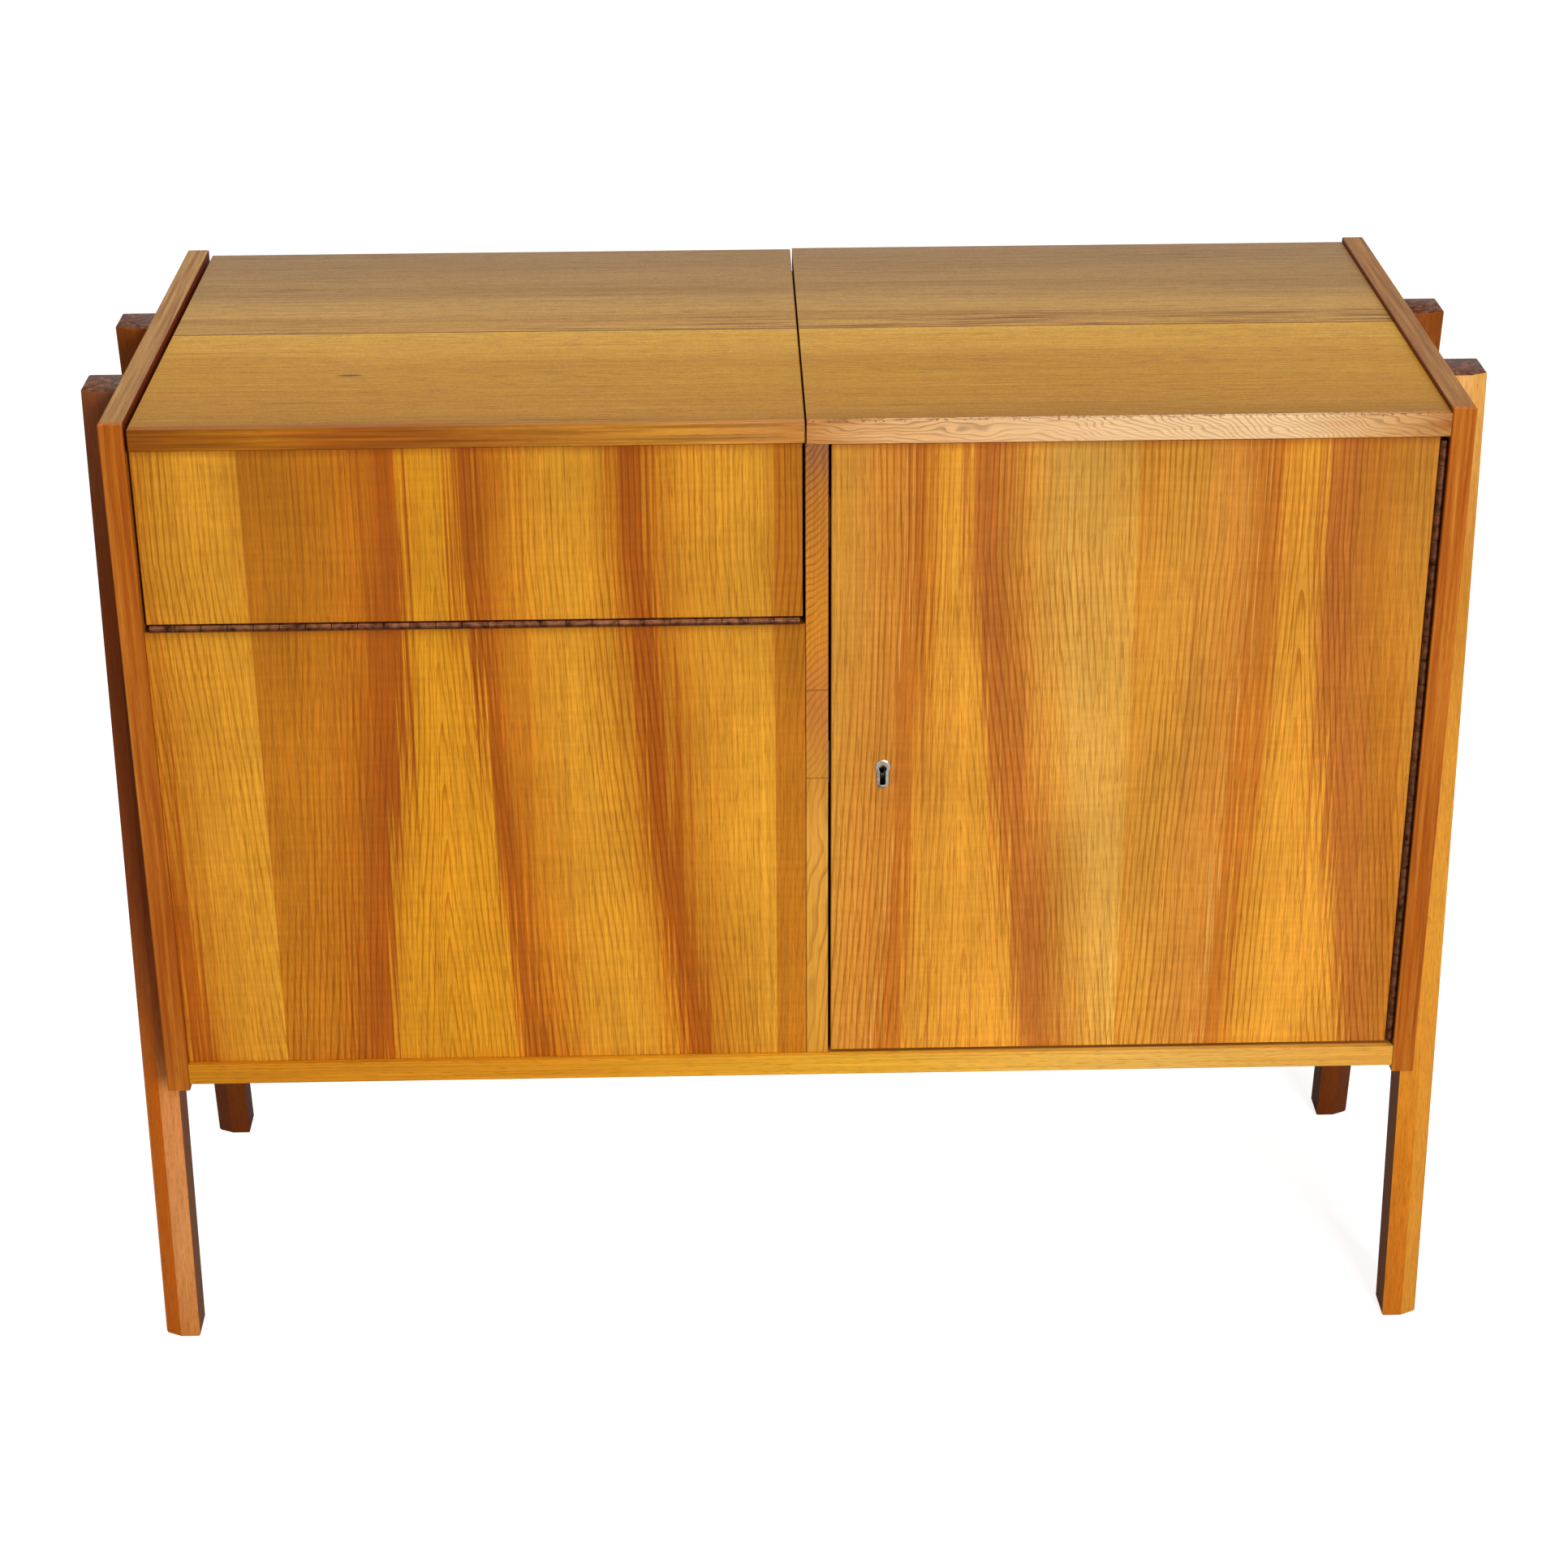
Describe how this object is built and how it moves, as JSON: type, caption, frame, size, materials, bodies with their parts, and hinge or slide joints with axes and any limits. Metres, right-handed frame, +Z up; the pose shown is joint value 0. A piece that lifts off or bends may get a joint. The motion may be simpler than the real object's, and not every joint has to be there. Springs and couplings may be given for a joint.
{
  "type": "bar buffet",
  "caption": "Veneered bar buffet on outboard splayed legs: lift-up lid and drop flap over a bottle well on the left, locking cupboard door on the right.",
  "frame": {"origin": "centre of the footprint's bounding box at floor level", "axes": "+X to the right along the case, +Y from the front to the back, +Z up"},
  "size_m": [1.0586, 0.442, 0.82],
  "materials": {
    "honey_veneer": "satin lacquer",
    "solid_lipping": "satin lacquer",
    "leg_wood": "satin lacquer",
    "inside_wood": "bare planed wood",
    "hardboard": "matt pressed board",
    "dull_brass": "tarnished",
    "zinc_steel": "zinc plated",
    "nickel": "polished nickel, worn"
  },
  "bodies": {
    "case": {"back_panel": "hardboard", "bar_shelf": "honey_veneer", "bottom_lipping": "solid_lipping", "bottom_panel": "honey_veneer", "cupboard_shelf": "honey_veneer", "divider_lipping": "solid_lipping", "divider_panel": "honey_veneer", "door_hinge_case_leaf": "dull_brass", "door_hinge_pin": "zinc_steel", "door_stop": "inside_wood", "flap_hinge_case_leaf": "dull_brass", "flap_hinge_pin": "zinc_steel", "leg_front_left": "leg_wood", "leg_front_right": "leg_wood", "leg_rear_left": "leg_wood", "leg_rear_right": "leg_wood", "leg_screw_front_left_lower": "zinc_steel", "leg_screw_front_left_upper": "zinc_steel", "leg_screw_front_right_lower": "zinc_steel", "leg_screw_front_right_upper": "zinc_steel", "leg_screw_rear_left_lower": "zinc_steel", "leg_screw_rear_left_upper": "zinc_steel", "leg_screw_rear_right_lower": "zinc_steel", "leg_screw_rear_right_upper": "zinc_steel", "lid_hinge_case_leaf": "dull_brass", "lid_hinge_pin": "zinc_steel", "lid_rest_block_left": "inside_wood", "lid_rest_block_right": "inside_wood", "lid_stay_base": "dull_brass", "lower_front_panel": "honey_veneer", "rear_rail_left": "inside_wood", "rear_rail_right": "inside_wood", "shelf_pin_front_left": "zinc_steel", "shelf_pin_front_right": "zinc_steel", "shelf_pin_rear_left": "zinc_steel", "shelf_pin_rear_right": "zinc_steel", "side_left_lipping": "solid_lipping", "side_left_panel": "honey_veneer", "side_right_lipping": "solid_lipping", "side_right_panel": "honey_veneer", "stay_guide_left": "dull_brass", "stay_guide_right": "dull_brass", "strike_plate": "zinc_steel", "top_right_lipping": "solid_lipping", "top_right_panel": "honey_veneer"},
    "lid": {"lid_panel": "honey_veneer", "lid_lipping": "solid_lipping", "lid_hinge_lid_leaf": "dull_brass", "lid_stay_bracket": "dull_brass"},
    "flap": {"flap_panel": "honey_veneer", "flap_hinge_flap_leaf": "dull_brass", "flap_stay_left": "dull_brass", "flap_stay_right": "dull_brass"},
    "door": {"door_panel": "honey_veneer", "door_hinge_door_leaf": "dull_brass", "keyhole_insert": "nickel", "lock_case": "zinc_steel"},
    "lock_bolt": {"lock_bolt": "dull_brass"},
    "lid_stay_lower": {"lid_stay_lower_arm": "dull_brass"},
    "lid_stay_upper": {"lid_stay_upper_arm": "dull_brass"}
  },
  "joints": [
    {"name": "lid_hinge", "type": "hinge", "parent": "case", "child": "lid", "pos_m": [-0.2344, 0.2182, 0.7964], "axis": [-1, 0, 0], "range_deg": [0, 95]},
    {"name": "lid_stay_lower_pivot", "type": "hinge", "parent": "case", "child": "lid_stay_lower", "pos_m": [-0.4779, 0.1582, 0.69248], "axis": [-1, 0, 0], "range_deg": [0, 95]},
    {"name": "lid_stay_upper_pivot", "type": "hinge", "parent": "lid_stay_lower", "child": "lid_stay_upper", "pos_m": [-0.4756, 0.0385, 0.68398], "axis": [-1, 0, 0], "range_deg": [-95, 0]},
    {"name": "flap_hinge", "type": "hinge", "parent": "case", "child": "flap", "pos_m": [-0.2356, -0.2155, 0.6576], "axis": [1, 0, 0], "range_deg": [0, 90]},
    {"name": "door_hinge", "type": "hinge", "parent": "case", "child": "door", "pos_m": [0.4794, -0.2155, 0.54], "axis": [0, 0, 1], "range_deg": [0, 110]},
    {"name": "lock_bolt_slide", "type": "slide", "parent": "door", "child": "lock_bolt", "axis": [-1, 0, 0], "range_m": [0, 0.009]}
  ],
  "couplings": [
    {"joint": "lid_stay_lower_pivot", "follows": "lid_hinge", "ratio": 1},
    {"joint": "lid_stay_upper_pivot", "follows": "lid_hinge", "ratio": -1}
  ]
}
